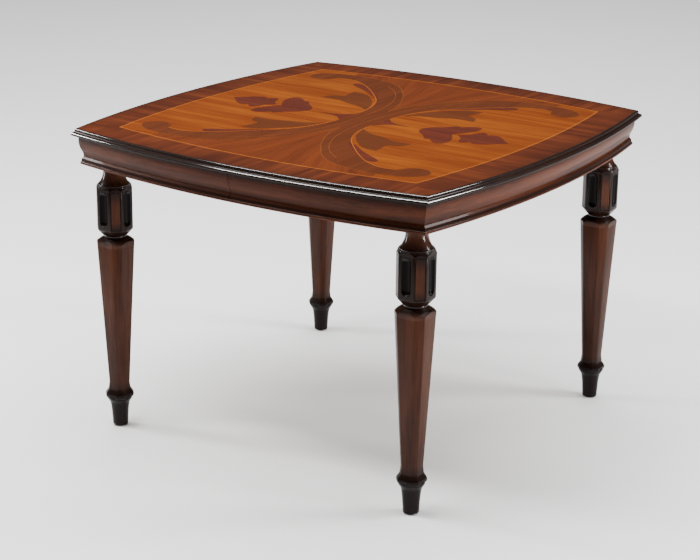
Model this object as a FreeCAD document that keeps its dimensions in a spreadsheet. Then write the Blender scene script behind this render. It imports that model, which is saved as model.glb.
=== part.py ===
import FreeCAD, Part
import math
import os
import Sketcher

# Extending dining table: two halves on wooden slides, bowed sides, fluted legs.
# X is the way the halves part, -Y is the front, Z is up, with the origin on the floor under the middle.

Vector = FreeCAD.Vector

# Driving sizes in millimetres
SIZES = {
    # whole table
    "table_height": 760,
    "side_chord": 1000,
    "side_bow": 50,
    "seam_gap": 0.5,
    "opening_travel": 400,
    # clearances and cuts
    "glue_gap": 0.1,
    "running_gap": 0.3,
    "bearing_gap": 0.05,
    "overrun": 6,
    # top
    "top_depth": 25,
    "veneer_thickness": 1,
    "lipping_inset": 30,
    "border_inset": 14,
    "border_width": 81,
    "stringing_width": 4,
    # edge moulding, as insets from the tip and depths below the top
    "bead_inset": 9.5,
    "bead_chamfer": 2,
    "bead_depth": 4.5,
    "cove_inset": 3.4,
    "nose_inset": 2.4,
    "nose_top_depth": 9.5,
    "nose_low_depth": 17,
    "nose_flat": 3,
    "under_bevel_inset": 4,
    # apron
    "apron_inset": 15,
    "apron_thickness": 25,
    "apron_flat": 19,
    "apron_hollow": 7,
    "apron_sweep": 19,
    "waist_flat": 2,
    "lip_sweep": 15,
    "lip_depth": 8,
    "lip_round": 6,
    "lip_set_back": 2,
    # corner blocks
    "corner_block_reach": 115,
    "corner_block_end": 30,
    "corner_block_lift": 4,
    # legs
    "leg_inset": 70,
    "glide_thickness": 2.5,
    "glide_radius": 12,
    "foot_radius": 18.5,
    "cup_level": 58,
    "cup_radius": 22,
    "cup_height": 18,
    "cup_rim_radius": 27,
    "collar_level": 80,
    "collar_height": 7,
    "collar_width": 61,
    "collar_under_width": 54,
    "flare_level": 98,
    "flare_width": 48,
    "ankle_level": 115,
    "ankle_width": 44,
    "shaft_width": 80,
    "cap_height": 6,
    "cap_width": 64,
    "cap_slope": 5,
    "waist_height": 8,
    "waist_radius": 27.5,
    "waist_width": 53,
    "head_slope": 17,
    "head_height": 93,
    "neck_height": 72,
    "shoulder_radius": 46,
    "shoulder_quirk": 3,
    "shoulder_height": 9,
    "shoulder_step": 4,
    "vase_height": 34,
    "neck_radius": 24.6,
    "neck_round": 60,
    "flute_width": 25,
    "flute_depth": 5,
    "flute_margin": 9,
    # leg fastening
    "leg_bolt_radius": 5,
    "leg_bolt_grip": 50,
    # slides
    "slide_offset": 300,
    "rail_height": 40,
    "rail_width": 30,
    "rail_reach": 400,
    "rail_free_reach": 360,
    "rail_relief": 1,
    "centre_rail_width": 36,
    "centre_rail_drop": 2,
    "centre_rail_lift": 0.5,
    "tongue_height": 10,
    "tongue_depth": 8,
    "tongue_flare": 2,
    "tongue_level": 20,
    # rack and pinion
    "gear_module": 3,
    "gear_thickness": 8,
    "gear_backlash": 0.6,
    "rack_back": 9,
    "pinion_screw_radius": 4,
    "pinion_screw_tip_radius": 3,
    "pinion_screw_head_radius": 8,
    "pinion_screw_head": 4,
    "pinion_screw_grip": 25,
    # alignment pins
    "pin_radius": 5,
    "pin_grip": 25,
    "pin_spacing": 360,
    # table locks
    "lock_offset": 150,
    "lock_plate_thickness": 2,
    "lock_plate_length": 40,
    "lock_plate_width": 44,
    "lock_pivot_back": 36,
    "lock_pivot_radius": 4,
    "lock_pivot_head_radius": 7,
    "lock_pivot_head": 2,
    "lock_reach": 52,
    "lever_thickness": 4,
    "lever_hub_radius": 10,
    "lever_arm_width": 8,
    "lever_arm_offset": 5,
    "lever_tail": 34,
    "hook_width": 7,
    "hook_reach": 8,
    "keeper_radius": 3,
    "keeper_length": 24,
}

# Shares of the sizes they follow, and counts
CHAMFER_SHARE = 0.2125
BLANK_SHARE = 0.6
ARCH_SHARE = 0.55
MITRE_INNER_SHARE = 0.82
MITRE_OUTER_SHARE = 1.08
ARC_REACH_SHARE = 1.03
PINION_TEETH = 12
RACK_SPARE_TEETH = 5
RACK_LEAD_TEETH = 3
ADDENDUM_SHARE = 0.85
DEDENDUM_SHARE = 1.25
RACK_FLANK_SHARE = 0.364
TOOTH_TIP_SHARE = 0.30
TOOTH_FOOT_SHARE = 0.95
TOOTH_HALF_SHARE = 0.7854


class Size:
    """A length with the sheet formula that gives it, so drawn points and bound sizes agree."""

    def __init__(self, value, text):
        self.value = value
        self.text = text

    @staticmethod
    def of(number):
        return number if isinstance(number, Size) else Size(float(number), f"({float(number)!r})")

    def joined(self, sign, other, value):
        return Size(value, f"({self.text} {sign} {other.text})")

    def __add__(self, other):
        other = Size.of(other)
        return self.joined("+", other, self.value + other.value)

    def __sub__(self, other):
        other = Size.of(other)
        return self.joined("-", other, self.value - other.value)

    def __mul__(self, other):
        other = Size.of(other)
        return self.joined("*", other, self.value * other.value)

    def __truediv__(self, other):
        other = Size.of(other)
        return self.joined("/", other, self.value / other.value)

    def __neg__(self):
        return Size.of(0) - self

    def root(self):
        return Size(math.sqrt(self.value), f"sqrt({self.text})")


doc = FreeCAD.newDocument("extending_table")
sheet = doc.addObject("Spreadsheet::Sheet", "Sizes")
for row, (alias, number) in enumerate(SIZES.items(), start=1):
    sheet.set(f"A{row}", alias)
    sheet.set(f"B{row}", str(number))
    sheet.setAlias(f"B{row}", alias)
doc.recompute()

ZERO = Size.of(0)
nodes = []


def size(alias):
    return Size(float(getattr(sheet, alias)), f"Sizes.{alias}")


# Sketches and features


def bind(thing, name, length):
    thing.setExpression(name, length.text)


def new_body(label):
    body = doc.addObject("PartDesign::Body", label)
    body.Label = label
    return body


def node_of(thing):
    nodes.append(thing)
    return thing


def origin_part(body, role):
    return next(part for part in body.Origin.OriginFeatures if part.Role == role)


def place(thing, x=ZERO, y=ZERO, z=ZERO, turn=0):
    thing.Placement = FreeCAD.Placement(Vector(), FreeCAD.Rotation(Vector(0, 0, 1), turn))
    for axis, length in zip("xyz", (x, y, z)):
        bind(thing, f"Placement.Base.{axis}", length)


def new_sketch(body, name, role, lift=ZERO):
    sketch = body.newObject("Sketcher::SketchObject", name)
    sketch.AttachmentSupport = (origin_part(body, role), [""])
    sketch.MapMode = "FlatFace"
    bind(sketch, "AttachmentOffset.Base.z", lift)
    return sketch


def arc_between(start, end, radius):
    """The short arc of a sketch from start to end; it turns left where radius is above zero."""
    chord = end - start
    rise = math.sqrt(max(radius * radius - chord.Length ** 2 / 4, 0))
    side = Vector(-chord.y, chord.x, 0).normalize() * math.copysign(rise, radius)
    centre = (start + end) * 0.5 + side
    first, last = (start, end) if radius > 0 else (end, start)
    angles = [math.atan2(point.y - centre.y, point.x - centre.x) for point in (first, last)]
    return Part.ArcOfCircle(Part.Circle(centre, Vector(0, 0, 1), abs(radius)), *angles)


def trace(sketch, corners):
    """A closed outline. A corner's third value is the radius of the arc that leaves it."""
    base = len(sketch.Geometry)
    points = [Vector(corner[0].value, corner[1].value, 0) for corner in corners]
    edges = []
    starts = []
    for index, corner in enumerate(corners):
        start, end = points[index], points[(index + 1) % len(points)]
        bent = len(corner) > 2
        edges.append(arc_between(start, end, corner[2].value) if bent else Part.LineSegment(start, end))
        starts.append(2 if bent and corner[2].value < 0 else 1)
    sketch.addGeometry(edges, False)
    for index, corner in enumerate(corners):
        after = (index + 1) % len(corners)
        here = (base + index, starts[index])
        there = (base + after, starts[after])
        sketch.addConstraint(Sketcher.Constraint("Coincident", here[0], 3 - here[1], *there))
        for kind, length in zip(("DistanceX", "DistanceY"), corner):
            made = sketch.addConstraint(Sketcher.Constraint(kind, -1, 1, *here, length.value))
            bind(sketch, f"Constraints[{made}]", length)
        if len(corner) > 2:
            radius = corner[2] if corner[2].value > 0 else -corner[2]
            made = sketch.addConstraint(Sketcher.Constraint("Radius", here[0], radius.value))
            bind(sketch, f"Constraints[{made}]", radius)


def ring(sketch, x, y, radius):
    made = sketch.addGeometry(Part.Circle(Vector(x.value, y.value, 0), Vector(0, 0, 1), radius.value), False)
    for kind, length in (("DistanceX", x), ("DistanceY", y)):
        row = sketch.addConstraint(Sketcher.Constraint(kind, -1, 1, made, 3, length.value))
        bind(sketch, f"Constraints[{row}]", length)
    row = sketch.addConstraint(Sketcher.Constraint("Radius", made, radius.value))
    bind(sketch, f"Constraints[{row}]", radius)


def box_corners(x0, y0, x1, y1):
    return [(x0, y0), (x1, y0), (x1, y1), (x0, y1)]


def pad(body, sketch, length, reverse=False):
    feature = body.newObject("PartDesign::Pad", sketch.Name + "_pad")
    feature.Profile = sketch
    feature.Reversed = reverse
    bind(feature, "Length", length)
    return feature


def pocket(body, sketch, depth, reverse=False):
    feature = body.newObject("PartDesign::Pocket", sketch.Name + "_pocket")
    feature.Profile = sketch
    feature.Reversed = reverse
    bind(feature, "Length", depth)
    return feature


def turned(body, sketch, kind="PartDesign::Revolution"):
    feature = body.newObject(kind, sketch.Name + "_turned")
    feature.Profile = sketch
    feature.ReferenceAxis = (origin_part(body, "Z_Axis"), [""])
    return feature


def drill(body, name, places, radius, depth, role="XY_Plane", reverse=True):
    sketch = new_sketch(body, name, role)
    for x, y in places:
        ring(sketch, x, y, radius)
    pocket(body, sketch, depth, reverse)


def stepped_pin(label, steps):
    """A turned pin from (radius, start, end) steps along its own Z."""
    body = new_body(label)
    sketch = new_sketch(body, label + "_profile", "XZ_Plane")
    corners = [(ZERO, steps[0][1])]
    for radius, start, end in steps:
        corners += [(radius, start), (radius, end)]
    corners.append((ZERO, steps[-1][2]))
    trace(sketch, corners)
    turned(body, sketch)
    return body


def group(label, things):
    compound = doc.addObject("Part::Compound", label)
    compound.Label = label
    compound.Links = things
    return node_of(compound)


# Plan of the table: four arcs that meet on the diagonals

half_chord = size("side_chord") / 2
side_radius = (half_chord * half_chord + size("side_bow") * size("side_bow")) / (size("side_bow") * 2)
arc_setback = side_radius - half_chord - size("side_bow")
half_gap = size("seam_gap") / 2
top_level = size("table_height")
under_top = top_level - size("top_depth")

HALVES = {"left": -1, "right": 1}
ENDS = {"front": -1, "back": 1}
CORNERS = [(end, half) for end in ENDS for half in HALVES]


def corner_at(inset):
    """How far along X and Y the corner of the plan at this inset lies from the middle."""
    radius = side_radius - inset
    return ((radius * radius * 2 - arc_setback * arc_setback).root() - arc_setback) / 2


def edge_at(inset, along):
    """How far the plan at this inset lies from the middle, at a place along the side."""
    radius = side_radius - inset
    return (radius * radius - along * along).root() - arc_setback


def half_outline(inset, sign):
    """Corners of one half of the plan, from the seam round to the seam."""
    radius = (side_radius - inset) * sign
    corner = corner_at(inset)
    edge = edge_at(inset, half_gap)
    return [
        (half_gap * sign, -edge, radius),
        (corner * sign, -corner, radius),
        (corner * sign, corner, radius),
        (half_gap * sign, edge),
    ]


def half_band(outer, inner, sign):
    """A band of the plan between two insets, open at the seam."""
    radius = -(side_radius - inner) * sign
    corner = corner_at(inner)
    edge = edge_at(inner, half_gap)
    back = [
        (half_gap * sign, edge, radius),
        (corner * sign, corner, radius),
        (corner * sign, -corner, radius),
        (half_gap * sign, -edge),
    ]
    return half_outline(outer, sign) + back


# Top boards and veneers

core_depth = size("top_depth") - size("veneer_thickness")
veneer_level = top_level - size("veneer_thickness")
stringing_inset = size("border_inset") + size("border_width")
field_inset = stringing_inset + size("stringing_width")
pin_places = [(y, core_depth / 2) for y in (-size("pin_spacing"), ZERO, size("pin_spacing"))]

rail_inner = size("centre_rail_width") / 2 + size("running_gap")


def lock_middle(half):
    """Where the lock plate or the keeper lies along X."""
    return -size("lock_pivot_back") if half == "left" else size("lock_reach") - size("lock_pivot_back")


def slab(label, outline, thickness, level):
    body = node_of(new_body(label))
    sketch = new_sketch(body, label + "_plan", "XY_Plane")
    trace(sketch, outline)
    pad(body, sketch, thickness)
    place(body, z=level)
    return body


for half, sign in HALVES.items():
    core = slab(f"top_core_{half}", half_outline(size("lipping_inset"), sign), core_depth, under_top)
    pin_gap = size("glue_gap") if half == "left" else size("running_gap")
    pin_hole = size("pin_grip") + half_gap + size("running_gap")
    pin_bore = size("pin_radius") + pin_gap
    drill(core, f"pin_holes_{half}", pin_places, pin_bore, pin_hole, "YZ_Plane", half == "right")
    veneer = size("veneer_thickness")
    slab(f"field_veneer_{half}", half_outline(field_inset, sign), veneer, veneer_level)
    slab(f"stringing_{half}", half_band(stringing_inset, field_inset, sign), veneer, veneer_level)
    border = half_band(size("border_inset"), stringing_inset, sign)
    slab(f"border_veneer_{half}", border, veneer, veneer_level)

pins = []
for index, (y, height) in enumerate(pin_places):
    grip = size("pin_grip")
    pin = stepped_pin(f"alignment_pin_{index + 1}", [(size("pin_radius"), -grip, grip)])
    pin.Placement = FreeCAD.Placement(Vector(), FreeCAD.Rotation(Vector(0, 1, 0), 90))
    bind(pin, "Placement.Base.y", y)
    bind(pin, "Placement.Base.z", under_top + height)
    pins.append(pin)
group("alignment_pins", pins)

# Edge moulding and apron: a profile swung about the arc's own axis and cut at the mitres and the seam

SIDES = {"right": (0, 1, 0), "back": (90, 0, 1), "left": (180, -1, 0), "front": (270, 0, -1)}


def profile_points(steps):
    """Profile corners from (inset, depth below the top) pairs, with arcs kept."""
    return [(side_radius - step[0], top_level - step[1], *step[2:]) for step in steps]


def swept_radius(run, drop):
    """Radius of an arc that leaves upright and moves aside by run over drop."""
    return (run * run + drop * drop) / (run * 2)


def moulding_profile():
    cove_run = size("bead_inset") - size("cove_inset")
    cove_drop = size("nose_top_depth") - size("bead_depth")
    nose_middle = (size("nose_low_depth") + size("nose_top_depth")) / 2
    return profile_points([
        (size("border_inset"), ZERO),
        (size("border_inset"), size("veneer_thickness")),
        (size("lipping_inset"), size("veneer_thickness")),
        (size("lipping_inset"), size("top_depth")),
        (size("apron_inset"), size("top_depth")),
        (size("under_bevel_inset"), size("nose_low_depth")),
        (size("nose_inset"), size("nose_low_depth")),
        (ZERO, nose_middle + size("nose_flat") / 2),
        (ZERO, nose_middle - size("nose_flat") / 2),
        (size("nose_inset"), size("nose_top_depth")),
        (size("cove_inset"), size("nose_top_depth"), -swept_radius(cove_drop, cove_run)),
        (size("bead_inset"), size("bead_depth")),
        (size("bead_inset"), size("bead_chamfer")),
        (size("bead_inset") + size("bead_chamfer"), ZERO),
    ])


apron_waist = size("apron_inset") + size("apron_hollow")
sweep_end = size("top_depth") + size("apron_flat") + size("apron_sweep")
lip_top = sweep_end + size("waist_flat") + size("lip_sweep")
apron_bottom = lip_top + size("lip_depth")
apron_back = size("apron_inset") + size("apron_thickness")


def apron_profile():
    half_run = size("apron_hollow") / 2
    half_drop = size("apron_sweep") / 2
    sweep = swept_radius(half_run, half_drop)
    lip = swept_radius(size("apron_hollow"), size("lip_sweep"))
    lip_foot = size("apron_inset") + size("lip_set_back")
    return profile_points([
        (size("apron_inset"), size("top_depth")),
        (apron_back, size("top_depth")),
        (apron_back, apron_bottom),
        (lip_foot, apron_bottom, size("lip_round")),
        (size("apron_inset"), lip_top, -lip),
        (apron_waist, sweep_end + size("waist_flat")),
        (apron_waist, sweep_end, -sweep),
        (apron_waist - half_run, sweep_end - half_drop, sweep),
        (size("apron_inset"), sweep_end - size("apron_sweep")),
    ])


def side_strip(label, profile, side, sign, whole):
    """One strip along a side, from its middle towards sign along it, and mirrored if it is a whole side."""
    turn, out_x, out_y = SIDES[side]
    body = node_of(new_body(label))
    sketch = new_sketch(body, label + "_profile", "XZ_Plane")
    trace(sketch, profile)
    swing = turned(body, sketch)
    swing.Reversed = sign < 0
    reach = half_chord * ARC_REACH_SHARE
    swing.setExpression("Angle", f"asin({reach.text} / {side_radius.text})")
    ends = new_sketch(body, label + "_ends", "XY_Plane")
    inner, outer = half_chord * MITRE_INNER_SHARE, half_chord * MITRE_OUTER_SHARE
    glue = size("glue_gap") / 2
    trace(ends, [
        (arc_setback + inner, (inner - glue) * sign),
        (arc_setback + outer, (outer - glue) * sign),
        (arc_setback + inner, (outer - glue) * sign),
    ])
    if not whole:
        far = arc_setback + outer + size("side_bow")
        trace(ends, box_corners(arc_setback + inner, -size("overrun") * sign, far, half_gap * sign))
    cut = pocket(body, ends, top_level + size("overrun"), reverse=True)
    if whole:
        mirror = body.newObject("PartDesign::Mirrored", label + "_mirrored")
        mirror.Originals = [swing, cut]
        mirror.MirrorPlane = (origin_part(body, "XZ_Plane"), [""])
        body.Tip = mirror
    place(body, -arc_setback * out_x, -arc_setback * out_y, turn=turn)


def frame_strips(name, profile):
    """The four sides of a frame: whole on the left and right, in two halves on the front and back."""
    for half, sign in HALVES.items():
        side_strip(f"{name}_{half}", profile, half, 1, True)
        side_strip(f"{name}_front_{half}", profile, "front", sign, False)
        side_strip(f"{name}_back_{half}", profile, "back", -sign, False)


frame_strips("edge_moulding", moulding_profile())
frame_strips("apron", apron_profile())

# Corner blocks behind the apron

apron_level = top_level - apron_bottom
block_level = apron_level + size("corner_block_lift")
leg_place = half_chord - size("leg_inset")


def corner_block(end, half):
    x_sign, y_sign = HALVES[half], ENDS[end]
    label = f"corner_block_{end}_{half}"
    corner = corner_at(apron_back)
    along = corner - size("corner_block_reach")
    edge = edge_at(apron_back, along)
    radius = (side_radius - apron_back) * (x_sign * y_sign)
    tail = edge - size("corner_block_end")
    body = node_of(new_body(label))
    sketch = new_sketch(body, label + "_plan", "XY_Plane")
    trace(sketch, [
        (edge * x_sign, along * y_sign, radius),
        (corner * x_sign, corner * y_sign, radius),
        (along * x_sign, edge * y_sign),
        (along * x_sign, tail * y_sign),
        (tail * x_sign, along * y_sign),
    ])
    pad(body, sketch, under_top - block_level)
    hole = size("leg_bolt_radius") + size("glue_gap")
    depth = size("leg_bolt_grip") + size("running_gap")
    drill(body, label + "_hole", [(leg_place * x_sign, leg_place * y_sign)], hole, depth)
    place(body, z=block_level)


for end, half in CORNERS:
    corner_block(end, half)

# Legs: a turned blank with its faces cut along the shaft and the head

head_top = block_level - size("neck_height")
head_low = head_top - size("head_height")
waist_top = head_low - size("head_slope")
waist_low = waist_top - size("waist_height")
cap_level = waist_low - size("cap_slope")
shaft_top = cap_level - size("cap_height")
cup_top = size("cup_level") + size("cup_height")
bead_low = head_top + size("shoulder_quirk")
bead_top = bead_low + size("shoulder_height")


def turned_blank(body, label):
    """The lathe work from foot to neck, left full where the faces are cut afterwards."""
    blank = size("shaft_width") * BLANK_SHARE
    foot_level = size("glide_thickness")
    cup_arc = swept_radius(size("cup_rim_radius") - size("cup_radius"), size("cup_height"))
    bead_side = size("shoulder_radius") - size("shoulder_quirk")
    quirk_side = bead_side - size("shoulder_quirk") / 2
    sketch = new_sketch(body, label + "_turning", "XZ_Plane")
    trace(sketch, [
        (ZERO, foot_level),
        (size("foot_radius"), foot_level),
        (size("cup_radius"), size("cup_level"), -cup_arc),
        (size("cup_rim_radius"), cup_top),
        (blank, cup_top),
        (blank, waist_low),
        (size("waist_width") / 2, waist_low),
        (size("waist_radius"), waist_low + size("waist_height") / 2),
        (size("waist_width") / 2, waist_top),
        (blank, waist_top),
        (blank, head_top),
        (quirk_side, head_top + size("shoulder_quirk") / 2),
        (quirk_side, bead_low),
        (bead_side, bead_low),
        (bead_side, bead_top),
        (bead_side - size("shoulder_step"), bead_top, -size("neck_round")),
        (size("neck_radius"), bead_top + size("vase_height")),
        (size("neck_radius"), block_level),
        (ZERO, block_level),
    ])
    turned(body, sketch)


def faces(body, label, turn, share):
    """Cuts a face down the shaft and the head. share is how far out it lies against the half widths."""
    shaft = [
        (cup_top, size("collar_under_width")),
        (size("collar_level"), size("collar_width")),
        (size("collar_level") + size("collar_height"), size("collar_width")),
        (size("flare_level"), size("flare_width")),
        (size("ankle_level"), size("ankle_width")),
        (shaft_top, size("shaft_width")),
        (cap_level, size("cap_width")),
        (waist_low, size("waist_width")),
    ]
    head = [
        (waist_top, size("waist_width")),
        (head_low, size("shaft_width")),
        (bead_top, size("shaft_width")),
    ]
    sketch = new_sketch(body, label, "XZ_Plane")
    sketch.AttachmentOffset = FreeCAD.Placement(Vector(), FreeCAD.Rotation(Vector(0, 1, 0), turn))
    clear = size("shaft_width")
    for levels in (shaft, head):
        outline = [(width / 2 * share, level) for level, width in levels]
        trace(sketch, [(clear, levels[0][0])] + outline + [(clear, levels[-1][0])])
    cut = pocket(body, sketch, clear * 2)
    cut.Midplane = True
    return cut


def around_leg(body, label, cuts):
    pattern = body.newObject("PartDesign::PolarPattern", label)
    pattern.Originals = cuts
    pattern.Axis = (origin_part(body, "Z_Axis"), [""])
    pattern.Occurrences = 4
    body.Tip = pattern


def flutes(body, label):
    """An arched flute in each main face of the head."""
    low = head_low + size("flute_margin")
    top = head_top - size("flute_margin")
    half_width = size("flute_width") / 2
    arch = size("flute_width") * ARCH_SHARE
    rise = arch - (arch * arch - half_width * half_width).root()
    flute = new_sketch(body, label + "_flute", "YZ_Plane", size("shaft_width") / 2)
    trace(flute, [
        (half_width, low + rise),
        (half_width, top - rise, arch),
        (-half_width, top - rise),
        (-half_width, low + rise, arch),
    ])
    flute_cut = pocket(body, flute, size("flute_depth"))
    around_leg(body, label + "_flutes", [flute_cut])


def leg(end, half):
    label = f"leg_{end}_{half}"
    body = node_of(new_body(label))
    turned_blank(body, label)
    main_face = faces(body, label + "_main_face", 0, 1)
    corner_face = faces(body, label + "_corner_face", 45, (1 - CHAMFER_SHARE) * math.sqrt(2))
    around_leg(body, label + "_faces", [main_face, corner_face])
    flutes(body, label)
    hole = new_sketch(body, label + "_hole", "XY_Plane", block_level)
    ring(hole, ZERO, ZERO, size("leg_bolt_radius") + size("glue_gap"))
    pocket(body, hole, size("leg_bolt_grip") + size("running_gap"))
    place(body, leg_place * HALVES[half], leg_place * ENDS[end])


def leg_hardware(half):
    """The bolts and glides of the two legs of a half."""
    bolts, glides = [], []
    for end in ENDS:
        x, y = leg_place * HALVES[half], leg_place * ENDS[end]
        grip = size("leg_bolt_grip")
        bolt = stepped_pin(f"leg_bolt_{end}_{half}", [(size("leg_bolt_radius"), -grip, grip)])
        place(bolt, x, y, block_level)
        bolts.append(bolt)
        glide = stepped_pin(f"glide_{end}_{half}", [(size("glide_radius"), ZERO, size("glide_thickness"))])
        place(glide, x, y)
        glides.append(glide)
    group(f"leg_bolts_{half}", bolts)
    group(f"glides_{half}", glides)


for end, half in CORNERS:
    leg(end, half)
for half in HALVES:
    leg_hardware(half)

# Extension slides: outer rails on each half, a centre rail between them on dovetail tongues

rail_level = under_top - size("rail_height")
centre_level = rail_level + size("centre_rail_lift")
pitch = size("gear_module") * math.pi
pitch_radius = size("gear_module") * PINION_TEETH / 2
addendum = size("gear_module") * ADDENDUM_SHARE
dedendum = size("gear_module") * DEDENDUM_SHARE
rack_teeth = int(size("opening_travel").value / 2 / pitch.value) + RACK_SPARE_TEETH
rack_root = pitch_radius + dedendum
rack_start = -pitch * RACK_LEAD_TEETH
rack_length = pitch * rack_teeth


def outer_rail(end, half):
    """A rail screwed under its own half, with a relieved free end that runs under the other half."""
    label = f"slide_rail_{end}_{half}"
    sign = HALVES[half]
    body = node_of(new_body(label))
    neck = size("tongue_height") / 2 + size("running_gap")
    wide = neck + size("tongue_flare")
    inner = rail_inner
    bottom = inner + size("tongue_depth")
    middle = size("tongue_level")
    section = [
        (inner, ZERO), (inner + size("rail_width"), ZERO),
        (inner + size("rail_width"), size("rail_height")), (inner, size("rail_height")),
        (inner, middle + neck), (bottom, middle + wide), (bottom, middle - wide), (inner, middle - neck),
    ]
    side = -HALVES[half] * ENDS[end]
    low_end = -size("rail_reach") if half == "left" else -size("rail_free_reach")
    sketch = new_sketch(body, label + "_section", "YZ_Plane", low_end)
    trace(sketch, [(across * side, up) for across, up in section])
    pad(body, sketch, size("rail_reach") + size("rail_free_reach"))
    relief = new_sketch(body, label + "_relief", "XY_Plane", size("rail_height"))
    far_side = (inner + size("rail_width") + size("overrun")) * side
    far_end = -(size("rail_free_reach") + size("overrun")) * sign
    trace(relief, box_corners(-half_gap * sign, ZERO, far_end, far_side))
    pocket(body, relief, size("rail_relief"))
    place(body, y=size("slide_offset") * ENDS[end], z=rail_level)


def centre_rail(end):
    label = f"slide_centre_{end}"
    body = node_of(new_body(label))
    half_width = size("centre_rail_width") / 2
    low = centre_level - rail_level
    high = size("rail_height") - size("centre_rail_drop")
    neck = size("tongue_height") / 2
    wide = neck + size("tongue_flare")
    tip = half_width + size("tongue_depth")
    middle = size("tongue_level")
    right = [
        (half_width, low), (half_width, middle - neck), (tip, middle - wide),
        (tip, middle + wide), (half_width, middle + neck), (half_width, high),
    ]
    left = [(-across, up) for across, up in reversed(right)]
    sketch = new_sketch(body, label + "_section", "YZ_Plane", -size("rail_reach"))
    trace(sketch, right + left)
    pad(body, sketch, size("rail_reach") * 2)
    hole = new_sketch(body, label + "_hole", "XY_Plane", low)
    ring(hole, ZERO, ZERO, size("pinion_screw_tip_radius") + size("glue_gap"))
    pocket(body, hole, size("pinion_screw_grip") + size("running_gap"), reverse=True)
    place(body, y=size("slide_offset") * ENDS[end], z=rail_level)


for end, half in CORNERS:
    outer_rail(end, half)
for end in ENDS:
    centre_rail(end)

# Racks and pinions


def rack(end, half):
    """A toothed bar under an outer rail; a gap between teeth faces the pinion at rest."""
    label = f"rack_{end}_{half}"
    sign = HALVES[half]
    side = -HALVES[half] * ENDS[end]
    body = node_of(new_body(label))
    finish = rack_start + rack_length
    back = rack_root + size("rack_back")
    bar = new_sketch(body, label + "_bar", "XY_Plane")
    trace(bar, box_corners(-rack_start * sign, rack_root * side, -finish * sign, back * side))
    pad(body, bar, size("gear_thickness"))
    half_tooth = pitch / 4 - size("gear_backlash") / 2
    root_half = half_tooth + dedendum * RACK_FLANK_SHARE
    tip_half = half_tooth - addendum * RACK_FLANK_SHARE
    first = rack_start + pitch / 2
    tooth = new_sketch(body, label + "_tooth", "XY_Plane")
    trace(tooth, [
        (-(first - root_half) * sign, rack_root * side),
        (-(first - tip_half) * sign, (pitch_radius - addendum) * side),
        (-(first + tip_half) * sign, (pitch_radius - addendum) * side),
        (-(first + root_half) * sign, rack_root * side),
    ])
    tooth_pad = pad(body, tooth, size("gear_thickness"))
    pattern = body.newObject("PartDesign::LinearPattern", label + "_teeth")
    pattern.Originals = [tooth_pad]
    pattern.Direction = (origin_part(body, "X_Axis"), [""])
    pattern.Reversed = sign > 0
    bind(pattern, "Length", pitch * (rack_teeth - 1))
    pattern.Occurrences = rack_teeth
    body.Tip = pattern
    place(body, y=size("slide_offset") * ENDS[end], z=rail_level - size("gear_thickness"))


pinion_level = rail_level - size("bearing_gap") - size("gear_thickness")


def pinion(end):
    label = f"pinion_{end}"
    body = node_of(new_body(label))
    root_radius = pitch_radius - dedendum
    disc = new_sketch(body, label + "_disc", "XY_Plane")
    ring(disc, ZERO, ZERO, root_radius)
    pad(body, disc, size("gear_thickness"))
    half_tooth = size("gear_module") * TOOTH_HALF_SHARE - size("gear_backlash") / 2
    tip_half = size("gear_module") * TOOTH_TIP_SHARE
    foot_half = size("gear_module") * TOOTH_FOOT_SHARE - size("gear_backlash") / 2
    foot = root_radius - addendum / 2
    tooth = new_sketch(body, label + "_tooth", "XY_Plane")
    trace(tooth, [
        (foot, -foot_half),
        (pitch_radius, -half_tooth),
        (pitch_radius + addendum, -tip_half),
        (pitch_radius + addendum, tip_half),
        (pitch_radius, half_tooth),
        (foot, foot_half),
    ])
    tooth_pad = pad(body, tooth, size("gear_thickness"))
    pattern = body.newObject("PartDesign::PolarPattern", label + "_teeth")
    pattern.Originals = [tooth_pad]
    pattern.Axis = (origin_part(body, "Z_Axis"), [""])
    pattern.Occurrences = PINION_TEETH
    body.Tip = pattern
    bore = size("pinion_screw_radius") + size("bearing_gap")
    drill(body, label + "_bore", [(ZERO, ZERO)], bore, size("gear_thickness") + size("overrun"))
    place(body, y=size("slide_offset") * ENDS[end], z=pinion_level)


def pinion_screw(end):
    shoulder = centre_level - pinion_level + size("bearing_gap")
    steps = [
        (size("pinion_screw_head_radius"), -shoulder - size("pinion_screw_head"), -shoulder),
        (size("pinion_screw_radius"), -shoulder, ZERO),
        (size("pinion_screw_tip_radius"), ZERO, size("pinion_screw_grip")),
    ]
    screw = node_of(stepped_pin(f"pinion_screw_{end}", steps))
    place(screw, y=size("slide_offset") * ENDS[end], z=centre_level)


for end, half in CORNERS:
    rack(end, half)
for end in ENDS:
    pinion(end)
    pinion_screw(end)

# Table locks under the seam: the lever swings its hook over to catch the keeper stud

plate_level = under_top - size("lock_plate_thickness")
lever_level = plate_level - size("bearing_gap") - size("lever_thickness")


def lock_plate(end):
    body = new_body(f"lock_plate_{end}")
    sketch = new_sketch(body, body.Label + "_plan", "XY_Plane")
    half_length, half_width = size("lock_plate_length") / 2, size("lock_plate_width") / 2
    trace(sketch, box_corners(-half_length, -half_width, half_length, half_width))
    pad(body, sketch, size("lock_plate_thickness"))
    through = size("lock_plate_thickness") + size("overrun")
    drill(body, body.Label + "_hole", [(ZERO, ZERO)], size("lock_pivot_radius") + size("glue_gap"), through)
    place(body, lock_middle("left"), size("lock_offset") * ENDS[end], plate_level)
    return body


def lock_pivot(end):
    shank = size("lever_thickness") + size("bearing_gap") * 2
    steps = [
        (size("lock_pivot_head_radius"), -shank - size("lock_pivot_head"), -shank),
        (size("lock_pivot_radius"), -shank, size("lock_plate_thickness")),
    ]
    body = stepped_pin(f"lock_pivot_{end}", steps)
    place(body, lock_middle("left"), size("lock_offset") * ENDS[end], plate_level)
    return body


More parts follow.
